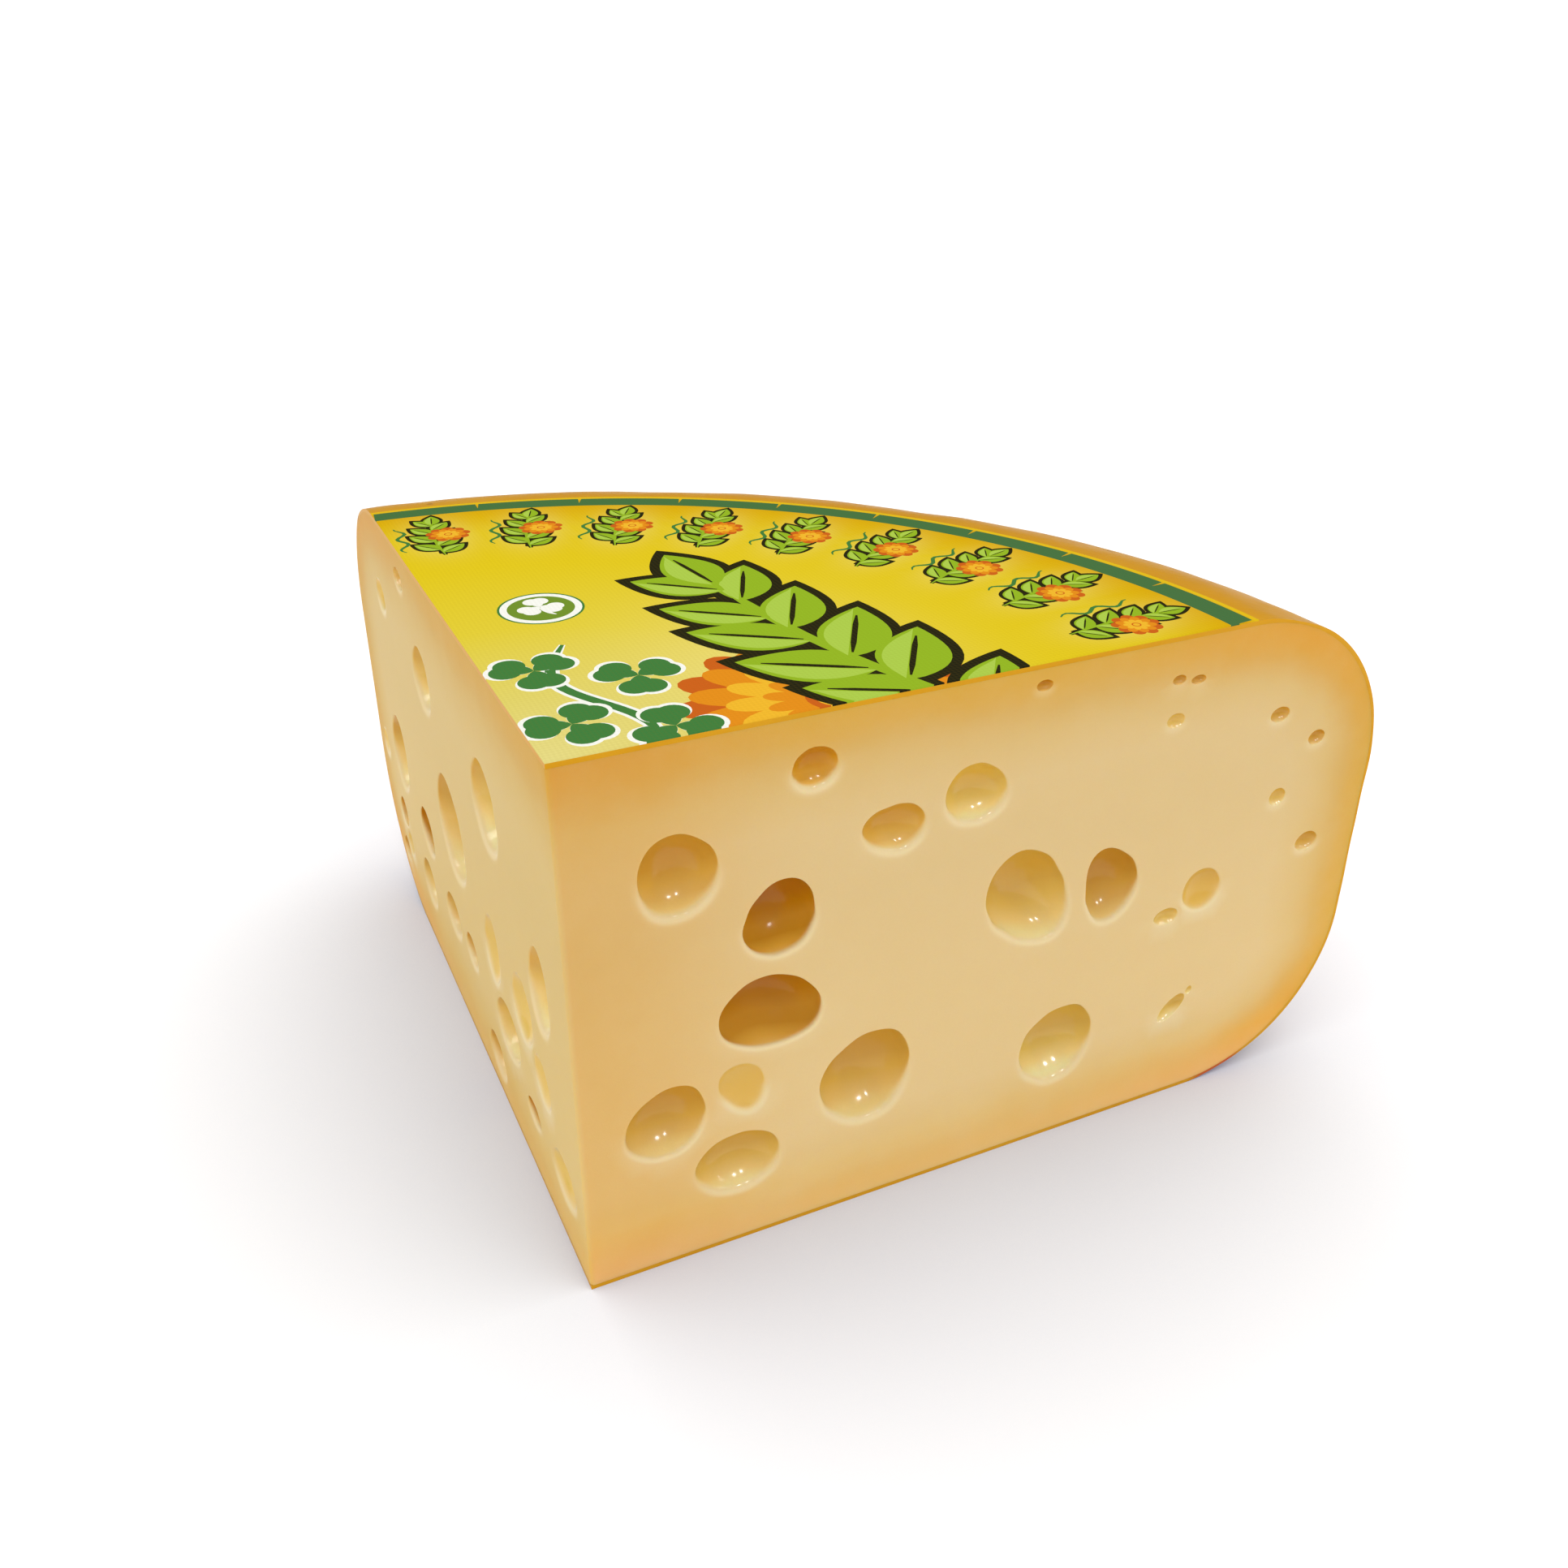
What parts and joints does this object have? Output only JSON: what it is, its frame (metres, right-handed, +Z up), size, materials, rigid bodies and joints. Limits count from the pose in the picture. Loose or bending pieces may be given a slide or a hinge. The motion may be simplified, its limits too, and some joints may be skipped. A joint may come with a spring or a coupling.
{
  "type": "cheese wedge",
  "caption": "Wedge cut from a wheel of holed yellow cheese: open eyes on both flat cut faces, an amber coating on the rounded rim and a printed paper label on top.",
  "frame": {"origin": "on the base, under the middle of the bounding box", "axes": "+Z up; one cut face looks along -Y and the other along -X, and they meet in the upright edge at the wheel's axis; the rounded rim looks toward +X +Y"},
  "size_m": [0.19, 0.19, 0.1203],
  "materials": {
    "paste": "smooth, slightly moist",
    "coating": "satin",
    "paper": "printed, fine linen grain"
  },
  "bodies": {
    "root": {"cheese": "paste", "rind_coating": "coating", "label": "paper"}
  },
  "joints": []
}
